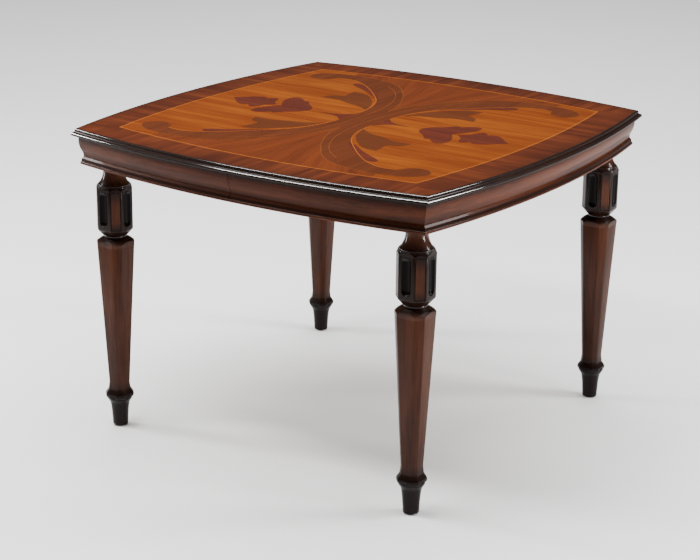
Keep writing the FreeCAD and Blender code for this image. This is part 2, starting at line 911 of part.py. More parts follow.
def lock_lever(end):
    """Drawn hooked, along X, and placed swung back along the seam."""
    label = f"lock_lever_{end}"
    body = node_of(new_body(label))
    hub = new_sketch(body, label + "_hub", "XY_Plane")
    ring(hub, ZERO, ZERO, size("lever_hub_radius"))
    pad(body, hub, size("lever_thickness"))
    near = size("lever_arm_offset")
    far = near + size("lever_arm_width")
    hook_face = size("lock_reach") + size("keeper_radius") + size("running_gap")
    hook_back = hook_face + size("hook_width")
    arm = new_sketch(body, label + "_arm", "XY_Plane")
    trace(arm, [
        (ZERO, near), (hook_face, near), (hook_face, -size("hook_reach")),
        (hook_back, -size("hook_reach")), (hook_back, far), (ZERO, far),
    ])
    pad(body, arm, size("lever_thickness"))
    tail = new_sketch(body, label + "_tail", "XY_Plane")
    half_arm = size("lever_arm_width") / 2
    trace(tail, box_corners(-size("lever_tail"), -half_arm, ZERO, half_arm))
    pad(body, tail, size("lever_thickness"))
    bore = size("lock_pivot_radius") + size("bearing_gap")
    drill(body, label + "_bore", [(ZERO, ZERO)], bore, size("lever_thickness") + size("overrun"))
    place(body, lock_middle("left"), size("lock_offset") * ENDS[end], lever_level, turn=90)


def lock_keeper(end):
    body = new_body(f"lock_keeper_{end}")
    sketch = new_sketch(body, body.Label + "_plan", "XY_Plane")
    half_length, half_width = size("keeper_length") / 2, size("lock_plate_width") / 2
    trace(sketch, box_corners(-half_length, -half_width, half_length, half_width))
    pad(body, sketch, size("lock_plate_thickness"))
    stud = new_sketch(body, body.Label + "_stud", "XY_Plane")
    ring(stud, ZERO, ZERO, size("keeper_radius"))
    pad(body, stud, size("lever_thickness") + size("bearing_gap") * 2, reverse=True)
    place(body, lock_middle("right"), size("lock_offset") * ENDS[end], plate_level)
    return body


group("lock_plates", [lock_plate(end) for end in ENDS])
group("lock_pivots", [lock_pivot(end) for end in ENDS])
for end in ENDS:
    lock_lever(end)
group("lock_keepers", [lock_keeper(end) for end in ENDS])

# Checks, then one file for each node

doc.recompute()
for thing in doc.Objects:
    faults = {"Invalid", "Error"} & set(thing.State)
    if faults:
        raise RuntimeError(f"{thing.Label}: {sorted(faults)}")
os.makedirs("parts", exist_ok=True)
for thing in nodes:
    if thing.Shape.isNull() or not thing.Shape.isValid() or not thing.Shape.Solids:
        raise RuntimeError(f"{thing.Label} has no valid solid")
    thing.Shape.exportStep(f"parts/{thing.Label}.step")
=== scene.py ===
import math

import bmesh
import bpy
from mathutils import Matrix, Vector


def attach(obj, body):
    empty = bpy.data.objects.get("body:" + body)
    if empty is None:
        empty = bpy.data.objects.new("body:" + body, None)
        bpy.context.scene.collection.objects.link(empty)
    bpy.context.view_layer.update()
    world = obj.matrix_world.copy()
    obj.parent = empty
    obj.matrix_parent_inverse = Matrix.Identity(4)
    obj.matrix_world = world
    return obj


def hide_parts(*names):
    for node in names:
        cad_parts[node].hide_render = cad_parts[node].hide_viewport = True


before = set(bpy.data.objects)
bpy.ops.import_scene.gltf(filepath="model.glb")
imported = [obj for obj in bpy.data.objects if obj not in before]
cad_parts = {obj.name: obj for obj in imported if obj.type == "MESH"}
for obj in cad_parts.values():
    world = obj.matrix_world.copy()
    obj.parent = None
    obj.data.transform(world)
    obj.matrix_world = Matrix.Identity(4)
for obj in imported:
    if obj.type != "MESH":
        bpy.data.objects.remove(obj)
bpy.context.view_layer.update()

# Sizes of the table in metres, as in the solids
TOP = 0.76
HALF_SPAN = 0.55
SIDE_RADIUS = 2.525
ARC_SETBACK = SIDE_RADIUS - HALF_SPAN
HALF_GAP = 0.00025
LEG_PLACE = 0.43
SLIDE_PLACE = 0.3
LOCK_PLACE = 0.15

HALVES = {"left": -1, "right": 1}
ENDS = {"front": -1, "back": 1}
CORNERS = [(end, half) for end in ENDS for half in HALVES]
SIDE_TURNS = {"right": 0, "back": 90, "left": 180, "front": 270}

# How finely round forms are divided
SIDE_STEPS = 28
TURN_STEPS = 48
ROUND_STEPS = 6
EDGE_STEPS = 2
OUTLINE_STEPS = 8

# Corners of a shape that are nearer than this become one
TOUCH = 1e-6


# Finishes


class Shade:
    """A shader socket. Sums and products of shades add their Math nodes."""

    def __init__(self, finish, socket):
        self.finish = finish
        self.socket = socket

    def math(self, operation, *values):
        return self.finish.node("ShaderNodeMath", {"operation": operation}, dict(enumerate(values)))

    def __add__(self, other):
        return self.math("ADD", self, other)

    def __radd__(self, other):
        return self.math("ADD", other, self)

    def __sub__(self, other):
        return self.math("SUBTRACT", self, other)

    def __rsub__(self, other):
        return self.math("SUBTRACT", other, self)

    def __mul__(self, other):
        return self.math("MULTIPLY", self, other)

    def __rmul__(self, other):
        return self.math("MULTIPLY", other, self)

    def __gt__(self, other):
        return self.math("GREATER_THAN", self, other)

    def __pow__(self, other):
        return self.math("POWER", self, other)

    def size(self):
        return self.math("ABSOLUTE", self)

    def ranged(self, low, high):
        """0 below low and 1 above high, smooth between."""
        settings = {"interpolation_type": "SMOOTHSTEP"}
        inputs = {"Value": self, "From Min": low, "From Max": high}
        return self.finish.node("ShaderNodeMapRange", settings, inputs)

    def near(self, level, reach):
        """1 at a level, falling to 0 at reach from it."""
        return 1 - (self - level).size().ranged(0, reach)


class Finish:
    """A material whose nodes are added one by one to its shader."""

    def __init__(self, name, **constants):
        self.material = bpy.data.materials.new(name)
        self.material.use_nodes = True
        self.tree = self.material.node_tree
        self.shader = self.tree.nodes["Principled BSDF"]
        self.feed(**constants)
        self.place = self.node("ShaderNodeTexCoord", output="Object")

    def feed(self, **values):
        """Sets or links inputs of the shader, named with _ for each space."""
        for name, value in values.items():
            self.link(self.shader.inputs[name.replace("_", " ")], value)

    def link(self, socket, value):
        if isinstance(value, Shade):
            self.tree.links.new(value.socket, socket)
        else:
            socket.default_value = value

    def node(self, kind, settings=None, inputs=None, output=0):
        node = self.tree.nodes.new(kind)
        for name, value in (settings or {}).items():
            setattr(node, name, value)
        for name, value in (inputs or {}).items():
            self.link(node.inputs[name], value)
        return Shade(self, node.outputs[output])

    def axes(self):
        """The three coordinates of the place."""
        return [self.node("ShaderNodeSeparateXYZ", None, {0: self.place}, axis) for axis in "XYZ"]

    def level(self):
        """The height above the floor."""
        return self.axes()[2]

    def joined(self, x, y, z):
        return self.node("ShaderNodeCombineXYZ", None, {"X": x, "Y": y, "Z": z})

    def turned(self, x=0, y=0, z=0):
        """The place turned about the axes, in degrees."""
        angles = tuple(math.radians(angle) for angle in (x, y, z))
        return self.node("ShaderNodeMapping", None, {"Vector": self.place, "Rotation": angles})

    def noise(self, place, stretch, detail=4, roughness=0.55, distortion=0.0):
        """Noise drawn out by a stretch along each axis of the place."""
        drawn = self.node("ShaderNodeVectorMath", {"operation": "MULTIPLY"}, {0: place, 1: stretch})
        inputs = {
            "Vector": drawn, "Scale": 1.0, "Detail": detail, "Roughness": roughness, "Distortion": distortion,
        }
        return self.node("ShaderNodeTexNoise", None, inputs)

    def blend(self, share, first, second):
        """A colour between two others."""
        settings = {"data_type": "RGBA"}
        return self.node("ShaderNodeMix", settings, {0: share, 6: first, 7: second}, output=2)

    def choose(self, share, first, second):
        """A vector between two others."""
        return self.node("ShaderNodeMix", {"data_type": "VECTOR"}, {0: share, 4: first, 5: second}, output=1)

    def raised(self, height, strength, depth):
        inputs = {"Height": height, "Strength": strength, "Distance": depth}
        return self.node("ShaderNodeBump", None, inputs)


def colour(red, green, blue):
    """A shader colour from screen values of 0 to 255."""
    def linear(value):
        share = value / 255
        return share / 12.92 if share <= 0.04045 else ((share + 0.055) / 1.055) ** 2.4
    return (linear(red), linear(green), linear(blue), 1)


LACQUER = {
    "Specular_IOR_Level": 0.05, "Coat_Weight": 0.13, "Coat_Roughness": 0.06, "Coat_IOR": 1.5, "IOR": 1.45,
}
GRAIN_DEPTH = 0.0006


def grain(finish, place):
    """Streaks of wood along the first axis of a place: broad bands, fine streaks and pores."""
    bands = finish.noise(place, (2.2, 26, 26), detail=3, distortion=0.6)
    streaks = finish.noise(place, (7, 210, 210), detail=5, roughness=0.65)
    pores = finish.noise(place, (45, 1300, 1300), detail=2).ranged(0.56, 0.72)
    return bands, streaks, pores


def wood(name, light, dark, lie=None, contrast=1.0, sheen=0.3, relief=0.025, **constants):
    """A lacquered wood between two colours. lie gives its coordinates, with the grain along the first."""
    finish = Finish(name, **{**LACQUER, **constants})
    bands, streaks, pores = grain(finish, lie(finish) if lie else finish.place)
    tone = (bands.ranged(0.3, 0.72) * 0.6 + streaks.ranged(0.32, 0.7) * 0.4 - 0.5) * contrast + 0.5
    finish.feed(Base_Color=finish.blend(tone - pores * 0.16, dark, light))
    finish.feed(Roughness=sheen + streaks * 0.12)
    finish.feed(Normal=finish.raised(streaks * 0.7 - pores * 0.5, relief, GRAIN_DEPTH))
    return finish


def along_y(finish):
    return finish.turned(z=90)


def along_z(finish):
    return finish.turned(y=90)


def by_an_end(finish):
    """1 where the nearest side is the front or the back, 0 where it is the left or the right."""
    x, y, _ = finish.axes()
    return y.size() > x.size()


def across_edge(finish):
    """Grain square to the nearest side, so that it mitres on the diagonals."""
    return finish.choose(by_an_end(finish), finish.place, finish.turned(z=90))


def along_edge(finish):
    """Grain along the nearest side."""
    return finish.choose(by_an_end(finish), finish.turned(z=90), finish.place)


FAN_FOOT = 0.02
FAN_SPREAD = 0.3


def fanned(finish):
    """Grain that spreads from a point at the foot of each fan."""
    x, y, z = finish.axes()
    rise = y.size() - FAN_FOOT
    angle = x.math("ARCTAN2", x, rise)
    reach = (x * x + rise * rise) ** 0.5
    return finish.joined(reach, angle * FAN_SPREAD, z)


def darkened(finish, share, shade):
    """Lays a darker shade over the colour of a finish, by a share that changes over the surface: the finish's
    own tone or glaze on most woods, painted shade on the apron.
    """
    base = finish.shader.inputs["Base Color"].links[0].from_socket
    finish.feed(Base_Color=finish.blend(share, Shade(finish, base), shade))
    return finish.material


# Where a finish changes from one look to another: from and to, in metres from the middle of the top
FIELD_DARKENS = (0.25, 0.46)
BORDER_DARKENS = (0.46, 0.55)

# The same in metres above the floor
EDGE_SHINES = (0.7574, 0.7588)
# Painted shade under the edge moulding, at the top of the apron
SHADE_UNDER_EDGE = (0.722, 0.736)
NECK_CLEARS = (0.618, 0.65)
FLUTE_SHINES = (0.597, 0.604)
PANEL_DARKENS = (0.575, 0.608)
PANEL_CLEARS = (0.515, 0.54)
HEAD_DARKENS = (0.474, 0.486)
SHAFT_CLEARS = (0.1, 0.34)
COLLAR_CLEARS = (0.085, 0.125)

# Burnished bands, and bands of painted shade on the apron: middle and reach, in metres above the floor
NOSE_SHINE = (0.7496, 0.002)
# Painted shade in the apron's hollow and on the band of its lip
HOLLOW_SHADE = (0.696, 0.014)
LIP_SHADE = (0.6825, 0.009)
NECK_SHINE = (0.645, 0.02)
SHOULDER_SHINE = (0.6222, 0.0045)
WAIST_SHINE = (0.4945, 0.0045)

VENEER_SHEEN = 0.22
BORDER_SHEEN = 0.24
FILLED_GRAIN = 0.004
BARE = {"Coat_Weight": 0.0, "sheen": 0.55}


def field_finish():
    """Honey satinwood, warmer and darker towards its edges."""
    finish = wood("satinwood", colour(133, 70, 16), colour(98, 42, 10), contrast=1.2, sheen=VENEER_SHEEN)
    x, y, _ = finish.axes()
    clouds = finish.noise(finish.place, (3.5, 7, 7), detail=2)
    rim = (x.size().ranged(*FIELD_DARKENS) + y.size().ranged(*FIELD_DARKENS)) * 0.3
    return darkened(finish, rim * 0.8 + clouds.ranged(0.42, 0.72) * 0.42, colour(88, 37, 12))


def border_finish():
    """Cross-banded mahogany, mottled and darker at the outer edge."""
    finish = wood("banding", colour(94, 45, 22), colour(57, 24, 13), across_edge, 1.1, BORDER_SHEEN)
    x, y, _ = finish.axes()
    out = x.math("MAXIMUM", x.size(), y.size())
    mottle = finish.noise(finish.place, (9, 9, 9), detail=3).ranged(0.42, 0.7)
    return darkened(finish, out.ranged(*BORDER_DARKENS) * 0.45 + mottle * 0.35, colour(46, 20, 12))


def apron_finish():
    """Mahogany with painted shade: a little under the edge moulding and in the hollow, most on the band of
    the lip.
    """
    finish = wood("apron_mahogany", colour(88, 42, 20), colour(50, 23, 13), along_edge, Coat_Weight=0.09)
    level = finish.level()
    # Painted shade in a near-black brown: a little under the edge and in the hollow, most on the band of the
    # lip
    thin = level.ranged(*SHADE_UNDER_EDGE) * 0.4 + level.near(*HOLLOW_SHADE) * 0.3
    return darkened(finish, thin + level.near(*LIP_SHADE) * 0.9, colour(18, 9, 7))


def edge_finish():
    """Ebonised wood, burnished on the arris and on the nose."""
    finish = wood(
        "dark_edge", colour(37, 20, 13), colour(18, 10, 7), along_edge, contrast=0.7, relief=FILLED_GRAIN,
        Coat_IOR=2.5,
    )
    level = finish.level()
    finish.feed(Coat_Weight=0.04 + level.ranged(*EDGE_SHINES) * 0.35 + level.near(*NOSE_SHINE) * 0.8)
    return finish.material


def leg_finish():
    """Mahogany, burnished on its beads and neck, with dark glaze at the foot and on the head."""
    finish = wood("leg_mahogany", colour(79, 44, 29), colour(44, 25, 18), along_z)
    level = finish.level()
    shine = (level.near(*SHOULDER_SHINE) + level.near(*WAIST_SHINE)) * 0.45 + level.near(*NECK_SHINE) * 0.35
    finish.feed(Coat_Weight=LACQUER["Coat_Weight"] + shine)
    head = level.ranged(*HEAD_DARKENS) * (1 - level.ranged(*NECK_CLEARS))
    foot = (1 - level.ranged(*COLLAR_CLEARS)) * 0.6 + (1 - level.ranged(*SHAFT_CLEARS)) * 0.35
    return darkened(finish, head * 0.85 + foot, colour(12, 7, 6))


def panel_finish():
    """Clear mahogany on the corners of the head, dark at both ends."""
    finish = wood("panel_mahogany", colour(75, 38, 20), colour(41, 21, 12), along_z)
    level = finish.level()
    ends = level.ranged(*PANEL_DARKENS) + (1 - level.ranged(*PANEL_CLEARS))
    return darkened(finish, ends * 0.8, colour(16, 8, 7))


def glaze_finish():
    """Black glaze in the hollows of the legs, burnished only at the upper end of each flute."""
    finish = wood(
        "black_glaze", colour(16, 9, 7), colour(8, 5, 5), along_z, contrast=0.8, relief=FILLED_GRAIN,
    )
    finish.feed(Coat_Weight=0.03 + finish.level().ranged(*FLUTE_SHINES) * 0.4)
    return finish.material


def veneer(name, light, dark, lie=None, contrast=1.0):
    return wood(name, light, dark, lie, contrast, VENEER_SHEEN).material


def bare_wood(name, light, dark, contrast):
    return wood(name, light, dark, None, contrast, **BARE).material


def metal(name, base, worn, roughness):
    """Metal with fine turning marks and dull patches."""
    finish = Finish(name, Metallic=1.0)
    marks = finish.noise(finish.place, (60, 60, 900), detail=3)
    dull = finish.noise(finish.place, (90, 90, 90), detail=4).ranged(0.4, 0.7)
    finish.feed(Base_Color=finish.blend(dull, base, worn))
    finish.feed(Roughness=roughness + dull * 0.2 + marks * 0.1)
    finish.feed(Normal=finish.raised(marks, 0.1, 0.0002))
    return finish.material


def moulded(name, base, worn, roughness):
    """Moulded plastic with a fine grain."""
    finish = Finish(name)
    speck = finish.noise(finish.place, (1500, 1500, 1500), detail=2)
    cloud = finish.noise(finish.place, (40, 40, 40), detail=3)
    finish.feed(Base_Color=finish.blend(cloud, base, worn))
    finish.feed(Roughness=roughness + speck * 0.15)
    finish.feed(Normal=finish.raised(speck, 0.15, 0.0003))
    return finish.material


satinwood = field_finish()
banding = border_finish()
apron_mahogany = apron_finish()
leg_mahogany = leg_finish()
panel_mahogany = panel_finish()
boxwood = veneer("boxwood", colour(147, 83, 27), colour(128, 64, 18), across_edge)
pear = veneer("string_pear", colour(122, 65, 26), colour(104, 52, 20), across_edge)
fan_mahogany = veneer("fan_mahogany", colour(97, 45, 18), colour(75, 33, 14), fanned, contrast=1.2)
walnut = veneer("scroll_walnut", colour(87, 42, 20), colour(67, 32, 15), along_y, contrast=0.8)
leaf_walnut = veneer("leaf_walnut", colour(87, 44, 20), colour(69, 33, 16), contrast=0.8)
rosewood = veneer("tulip_rosewood", colour(86, 38, 24), colour(63, 27, 19))
dark_edge = edge_finish()
glaze = glaze_finish()
core_board = bare_wood("core_board", colour(140, 108, 76), colour(110, 80, 55), contrast=0.8)
beech = bare_wood("beech", colour(164, 132, 94), colour(140, 106, 71), contrast=0.7)
brass = metal("brass", colour(196, 158, 92), colour(148, 112, 62), 0.28)
steel = metal("steel", colour(168, 168, 172), colour(120, 120, 126), 0.32)
gear_nylon = moulded("gear_nylon", colour(44, 44, 47), colour(58, 58, 62), 0.45)
glide_nylon = moulded("glide_nylon", colour(70, 56, 44), colour(88, 72, 58), 0.5)

# The first entry that a node's name starts with gives its finish
NODE_FINISHES = {
    "top_core": core_board, "field_veneer": satinwood, "stringing": boxwood, "border_veneer": banding,
    "edge_moulding": dark_edge, "apron": apron_mahogany, "corner_block": beech, "leg_bolts": steel,
    "leg_": leg_mahogany, "slide_": beech, "rack": gear_nylon, "pinion_screw": steel, "pinion_": gear_nylon,
    "glides": glide_nylon, "alignment_pins": beech, "lock_": brass,
}
for node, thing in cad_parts.items():
    finish = next(made for start, made in NODE_FINISHES.items() if node.startswith(start))
    thing.data.materials.clear()
    thing.data.materials.append(finish)


# Shapes


CREASE = 35


def keep(shape, name, finishes, body, replaced=(), crease=CREASE):
    """Turns a shape into a piece of a body, with its edges sharp from a crease angle in degrees."""
    bmesh.ops.recalc_face_normals(shape, faces=shape.faces[:])
    mesh = bpy.data.meshes.new(name)
    shape.to_mesh(mesh)
    shape.free()
    for finish in finishes:
        mesh.materials.append(finish)
    mesh.shade_smooth()
    mesh.set_sharp_from_angle(angle=math.radians(crease))
    piece = bpy.data.objects.new(name, mesh)
    bpy.context.scene.collection.objects.link(piece)
    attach(piece, body)
    if replaced:
        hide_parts(*replaced)


def everything(shape):
    return shape.verts[:] + shape.edges[:] + shape.faces[:]


def only(parts, kind):
    return [part for part in parts if isinstance(part, kind)]


def absorb(shape, other):
    """Adds another shape to a shape."""
    mesh = bpy.data.meshes.new("passing")
    other.to_mesh(mesh)
    other.free()
    shape.from_mesh(mesh)
    bpy.data.meshes.remove(mesh)


def eased(shape, parts, reach, steps, affect):
    """Cuts or rounds corners or edges of a shape, from a reach to either side."""
    bmesh.ops.bevel(
        shape, geom=parts, offset=reach, offset_type="OFFSET", segments=steps, profile=0.5,
        affect=affect, material=-1,
    )


def profile(shape, corners):
    """A face in the XZ plane from (x, z, radius) corners, each rounded by its radius."""
    verts = [shape.verts.new((x, 0, z)) for x, z, _ in corners]
    shape.faces.new(verts)
    for vert, (_, _, radius) in zip(verts, corners):
        if radius:
            eased(shape, [vert], radius, ROUND_STEPS, "VERTICES")


def slice_off(shape, point, normal):
    """Cuts a shape with a plane, drops what lies ahead of the normal and closes the cut."""
    made = bmesh.ops.bisect_plane(
        shape, geom=everything(shape), dist=TOUCH, plane_co=point, plane_no=normal, clear_outer=True,
    )
    bmesh.ops.edgeloop_fill(shape, edges=only(made["geom_cut"], bmesh.types.BMEdge))


def lathe(shape, corners):
    """A closed turning from (radius, level, round) corners, with its axis on Z."""
    turning = bmesh.new()
    profile(turning, corners)
    bmesh.ops.delete(turning, geom=turning.faces[:], context="FACES_ONLY")
    axis = [edge for edge in turning.edges if all(abs(vert.co.x) < TOUCH for vert in edge.verts)]
    bmesh.ops.delete(turning, geom=axis, context="EDGES")
    bmesh.ops.spin(
        turning, geom=everything(turning), axis=(0, 0, 1), cent=(0, 0, 0), angle=math.tau,
        steps=TURN_STEPS, use_merge=True,
    )
    bmesh.ops.remove_doubles(turning, verts=turning.verts[:], dist=TOUCH)
    bmesh.ops.recalc_face_normals(turning, faces=turning.faces[:])
    absorb(shape, turning)


# Edge moulding and apron: rounded profiles swung along the bowed sides

# Half the width of the seam between two half strips, wide enough to read as a line
EASED_SEAM = 0.0006
MOULDING = [
    (0.014, 0, 0), (0.014, 0.001, 0), (0.03, 0.001, 0), (0.03, 0.025, 0),
    (0.0152, 0.025, 0.0004), (0.0152, 0.0176, 0.004), (0.0, 0.0172, 0.0036), (0.0, 0.0092, 0.0036),
    (0.0082, 0.0092, 0.0052), (0.0082, 0, 0.0028),
]
APRON = [
    (0.015, 0.025, 0), (0.04, 0.025, 0), (0.04, 0.0876, 0), (0.0205, 0.0876, 0), (0.0172, 0.0868, 0.0014),
    (0.0172, 0.082, 0.0012), (0.0192, 0.0805, 0.0008), (0.0205, 0.0735, 0.0006), (0.0245, 0.0678, 0.0016),
    (0.0245, 0.0605, 0.007), (0.015, 0.043, 0.012),
]


def swung_side(corners):
    """The right side of a frame, mitred at both ends. Corners are (inset, depth, radius)."""
    shape = bmesh.new()
    profile(shape, [(HALF_SPAN - inset, TOP - depth, radius) for inset, depth, radius in corners])
    centre = (-ARC_SETBACK, 0, 0)
    reach = math.asin(HALF_SPAN / SIDE_RADIUS)
    bmesh.ops.rotate(shape, verts=shape.verts[:], cent=centre, matrix=Matrix.Rotation(-reach, 3, "Z"))
    bmesh.ops.spin(
        shape, geom=everything(shape), axis=(0, 0, 1), cent=centre, angle=2 * reach, steps=SIDE_STEPS,
    )
    for way in (-1, 1):
        slice_off(shape, (0, 0, 0), (-1, way, 0))
    return shape


def frame_strips(name, corners, finish):
    """Whole strips on the left and right, two half strips on the front and back."""
    for side, turn in SIDE_TURNS.items():
        for half, sign in HALVES.items():
            if side in HALVES and side != half:
                continue
            label = name + "_" + (side if side in HALVES else f"{side}_{half}")
            shape = swung_side(corners)
            spin = Matrix.Rotation(math.radians(turn), 3, "Z")
            bmesh.ops.rotate(shape, verts=shape.verts[:], cent=(0, 0, 0), matrix=spin)
            if side in ENDS:
                slice_off(shape, (EASED_SEAM * sign, 0, 0), (-sign, 0, 0))
            keep(shape, "shaped_" + label, [finish], half + "_half", [label])


frame_strips("edge_moulding", MOULDING, dark_edge)
frame_strips("apron", APRON, apron_mahogany)


# Legs: turned and faceted shapes, with glaze in their hollows and brown panels on the corners of their heads

# Places of the three finishes in a leg's list
BROWN = 0
GLAZE = 1
PANEL = 2

# How much of the width each cut corner takes, and how far edges are eased
SHAFT_CHAMFER = 0.2125
HEAD_CHAMFER = 0.25
SHAFT_EDGE = 0.0011
HEAD_EDGE = 0.0018
EASED_ANGLE = 15
LEG_CREASE = 28

# Sections as (level, width)
SHAFT = [(0.076, 0.054), (0.08, 0.061), (0.087, 0.061), (0.098, 0.048), (0.115, 0.044), (0.474, 0.0795)]
HEAD = [(0.4965, 0.0545), (0.5125, 0.0795), (0.6118, 0.0795)]

# Turnings as (radius, level, round)
SHOULDER_LEVEL = 0.61
SHOULDER = [
    (0, SHOULDER_LEVEL, 0), (0.0448, SHOULDER_LEVEL, 0), (0.0445, 0.612, 0.0004), (0.041, 0.6185, 0.0012),
    (0.041, 0.6202, 0.0007), (0.0384, 0.6208, 0.0004), (0.0384, 0.6238, 0.0012), (0.0354, 0.6246, 0.0004),
    (0.0254, 0.6425, 0.012), (0.0245, 0.6755, 0), (0, 0.6755, 0),
]
CAP = [
    (0, 0.47, 0), (0.048, 0.47, 0), (0.048, 0.4775, 0), (0.0365, 0.4862, 0.0008), (0.0352, 0.4862, 0.0003),
    (0.0268, 0.493, 0.001), (0, 0.493, 0),
]
FOOT = [
    (0, 0.0025, 0), (0.0185, 0.0025, 0.002), (0.0214, 0.05, 0.012), (0.0245, 0.064, 0.01),
    (0.0318, 0.0755, 0.003), (0.0318, 0.0835, 0.002), (0, 0.0835, 0),
]
WAIST_BEAD = [
    (0, 0.4905, 0), (0.0262, 0.4905, 0.001), (0.0285, 0.4945, 0.0025), (0.0262, 0.4985, 0.001),
    (0, 0.4985, 0),
]

# The shaft's faces at its cap: level, distance from the axis and slope
CAP_LEVEL = 0.479
CAP_FACE = 0.04
SHAFT_TAPER = 0.0495


def corner_share(chamfer_share):
    """How far a corner face lies from the axis, for a main face at 1."""
    return (1 - chamfer_share) * math.sqrt(2)


MAIN_FACE = HEAD[-1][1] / 2
CORNER_FACE = MAIN_FACE * corner_share(HEAD_CHAMFER)

# A flute's outline, and the steps in which it and the groove of a panel are sunk, as (inset, depth)
FLUTE_HALF = 0.0122
FLUTE_ROUND = 0.01219
FLUTE_LOW = 0.5205
FLUTE_HIGH = 0.609
FLUTE = [
    (side * FLUTE_HALF, level, FLUTE_ROUND)
    for side, level in ((-1, FLUTE_LOW), (1, FLUTE_LOW), (1, FLUTE_HIGH), (-1, FLUTE_HIGH))
]
FLUTE_HOLLOW = [(0.0013, 0.0017), (0.0017, 0.0017), (0.0021, 0.0015), (0.0025, 0.0012), (0.0025, 0.0006)]
PANEL_RIM = 0.0004
PANEL_GROOVE = [(0.0005, 0.0012), (0.0004, 0), (0.0005, -0.0012)]

# The rounds of a flute's end almost meet, and become one arch within this distance
ARCH_TOUCH = 0.00005

# How nearly a face has to look along a direction and lie at a distance
SAME_WAY = 0.999
SAME_DISTANCE = 0.001


def faceted(shape, sections, chamfer_share, edge_round):
    """A square with cut corners carried up through (level, width) sections, with its edges eased."""
    level, width = sections[0]
    block = bmesh.new()
    bmesh.ops.create_grid(block, x_segments=1, y_segments=1, size=width / 2)
    bmesh.ops.translate(block, verts=block.verts[:], vec=(0, 0, level))
    eased(block, block.verts[:], width * chamfer_share, 1, "VERTICES")
    for next_level, next_width in sections[1:]:
        end = max(block.faces, key=lambda face: face.calc_center_median().z)
        grown = bmesh.ops.extrude_face_region(block, geom=[end, *end.edges, *end.verts])["geom"]
        verts = only(grown, bmesh.types.BMVert)
        share = next_width / width
        bmesh.ops.scale(block, verts=verts, vec=(share, share, 1))
        bmesh.ops.translate(block, verts=verts, vec=(0, 0, next_level - level))
        level, width = next_level, next_width
    bmesh.ops.recalc_face_normals(block, faces=block.faces[:])
    sharp = [edge for edge in block.edges if edge.calc_face_angle(0) > math.radians(EASED_ANGLE)]
    eased(block, sharp, edge_round, EDGE_STEPS, "EDGES")
    absorb(shape, block)


def head_face(shape, out, distance):
    """The largest face of the head that looks along a direction, at a distance from the axis."""
    looking = [
        face for face in shape.faces
        if face.normal.dot(out) > SAME_WAY
        and abs(face.calc_center_median().dot(out) - distance) < SAME_DISTANCE
    ]
    return max(looking, key=lambda face: face.calc_area())


def compass(first):
    """Four level directions, a quarter turn apart, from a first angle in degrees."""
    angles = [math.radians(first + 90 * quarter) for quarter in range(4)]
    return [Vector((math.cos(angle), math.sin(angle), 0)) for angle in angles]


def sunk(shape, face, steps):
    """Sinks a face in steps of (inset, depth) and blackens the walls. The face itself stays in the middle."""
    for inset, depth in steps:
        made = bmesh.ops.inset_individual(
            shape, faces=[face], thickness=inset, depth=-depth, use_even_offset=True,
        )
        for wall in made["faces"]:
            wall.material_index = GLAZE


def flute(shape, out):
    """A round-ended hollow sunk in a main face of the head, dark with glaze."""
    hollow = bmesh.new()
    profile(hollow, FLUTE)
    bmesh.ops.remove_doubles(hollow, verts=hollow.verts[:], dist=ARCH_TOUCH)
    hollow.faces.ensure_lookup_table()
    hollow.faces[0].material_index = GLAZE
    sunk(hollow, hollow.faces[0], FLUTE_HOLLOW)
    bmesh.ops.translate(hollow, verts=hollow.verts[:], vec=(0, -MAIN_FACE, 0))
    turn = Matrix.Rotation(math.atan2(out.y, out.x) + math.pi / 2, 3, "Z")
    bmesh.ops.rotate(hollow, verts=hollow.verts[:], cent=(0, 0, 0), matrix=turn)
    bmesh.ops.delete(shape, geom=[head_face(shape, out, MAIN_FACE)], context="FACES_ONLY")
    absorb(shape, hollow)
    rim = bmesh.ops.bridge_loops(shape, edges=[edge for edge in shape.edges if edge.is_boundary])["faces"]
    for face in rim:
        face.material_index = BROWN


def panel(shape, out):
    """A fine groove round a corner face of the head, which leaves a brown panel."""
    face = head_face(shape, out, CORNER_FACE)
    bmesh.ops.inset_individual(shape, faces=[face], thickness=PANEL_RIM, use_even_offset=True)
    sunk(shape, face, PANEL_GROOVE)
    face.material_index = PANEL


def faced_turning(corners, level, distance, taper, chamfer_share):
    """A turning cut to eight faces, so that they run up into it in arcs, as on a nut."""
    shape = bmesh.new()
    lathe(shape, corners)
    for first, share in ((0, 1), (45, corner_share(chamfer_share))):
        for out in compass(first):
            point = out * distance * share + Vector((0, 0, level))
            slice_off(shape, point, out - Vector((0, 0, taper * share)))
    return shape


def leg(end, half):
    shape = bmesh.new()
    faceted(shape, HEAD, HEAD_CHAMFER, HEAD_EDGE)
    for out in compass(0):
        flute(shape, out)
    for out in compass(45):
        panel(shape, out)
    faceted(shape, SHAFT, SHAFT_CHAMFER, SHAFT_EDGE)
    lathe(shape, FOOT)
    lathe(shape, WAIST_BEAD)
    absorb(shape, faced_turning(SHOULDER, SHOULDER_LEVEL, MAIN_FACE, 0, HEAD_CHAMFER))
    absorb(shape, faced_turning(CAP, CAP_LEVEL, CAP_FACE, SHAFT_TAPER, SHAFT_CHAMFER))
    spot = (LEG_PLACE * HALVES[half], LEG_PLACE * ENDS[end], 0)
    bmesh.ops.translate(shape, verts=shape.verts[:], vec=spot)
    label = f"leg_{end}_{half}"
    finishes = [leg_mahogany, glaze, panel_mahogany]
    keep(shape, "shaped_" + label, finishes, half + "_half", [label], LEG_CREASE)


for end, half in CORNERS:
    leg(end, half)


# Marquetry: veneers cut to outlines of a few points and let into the field


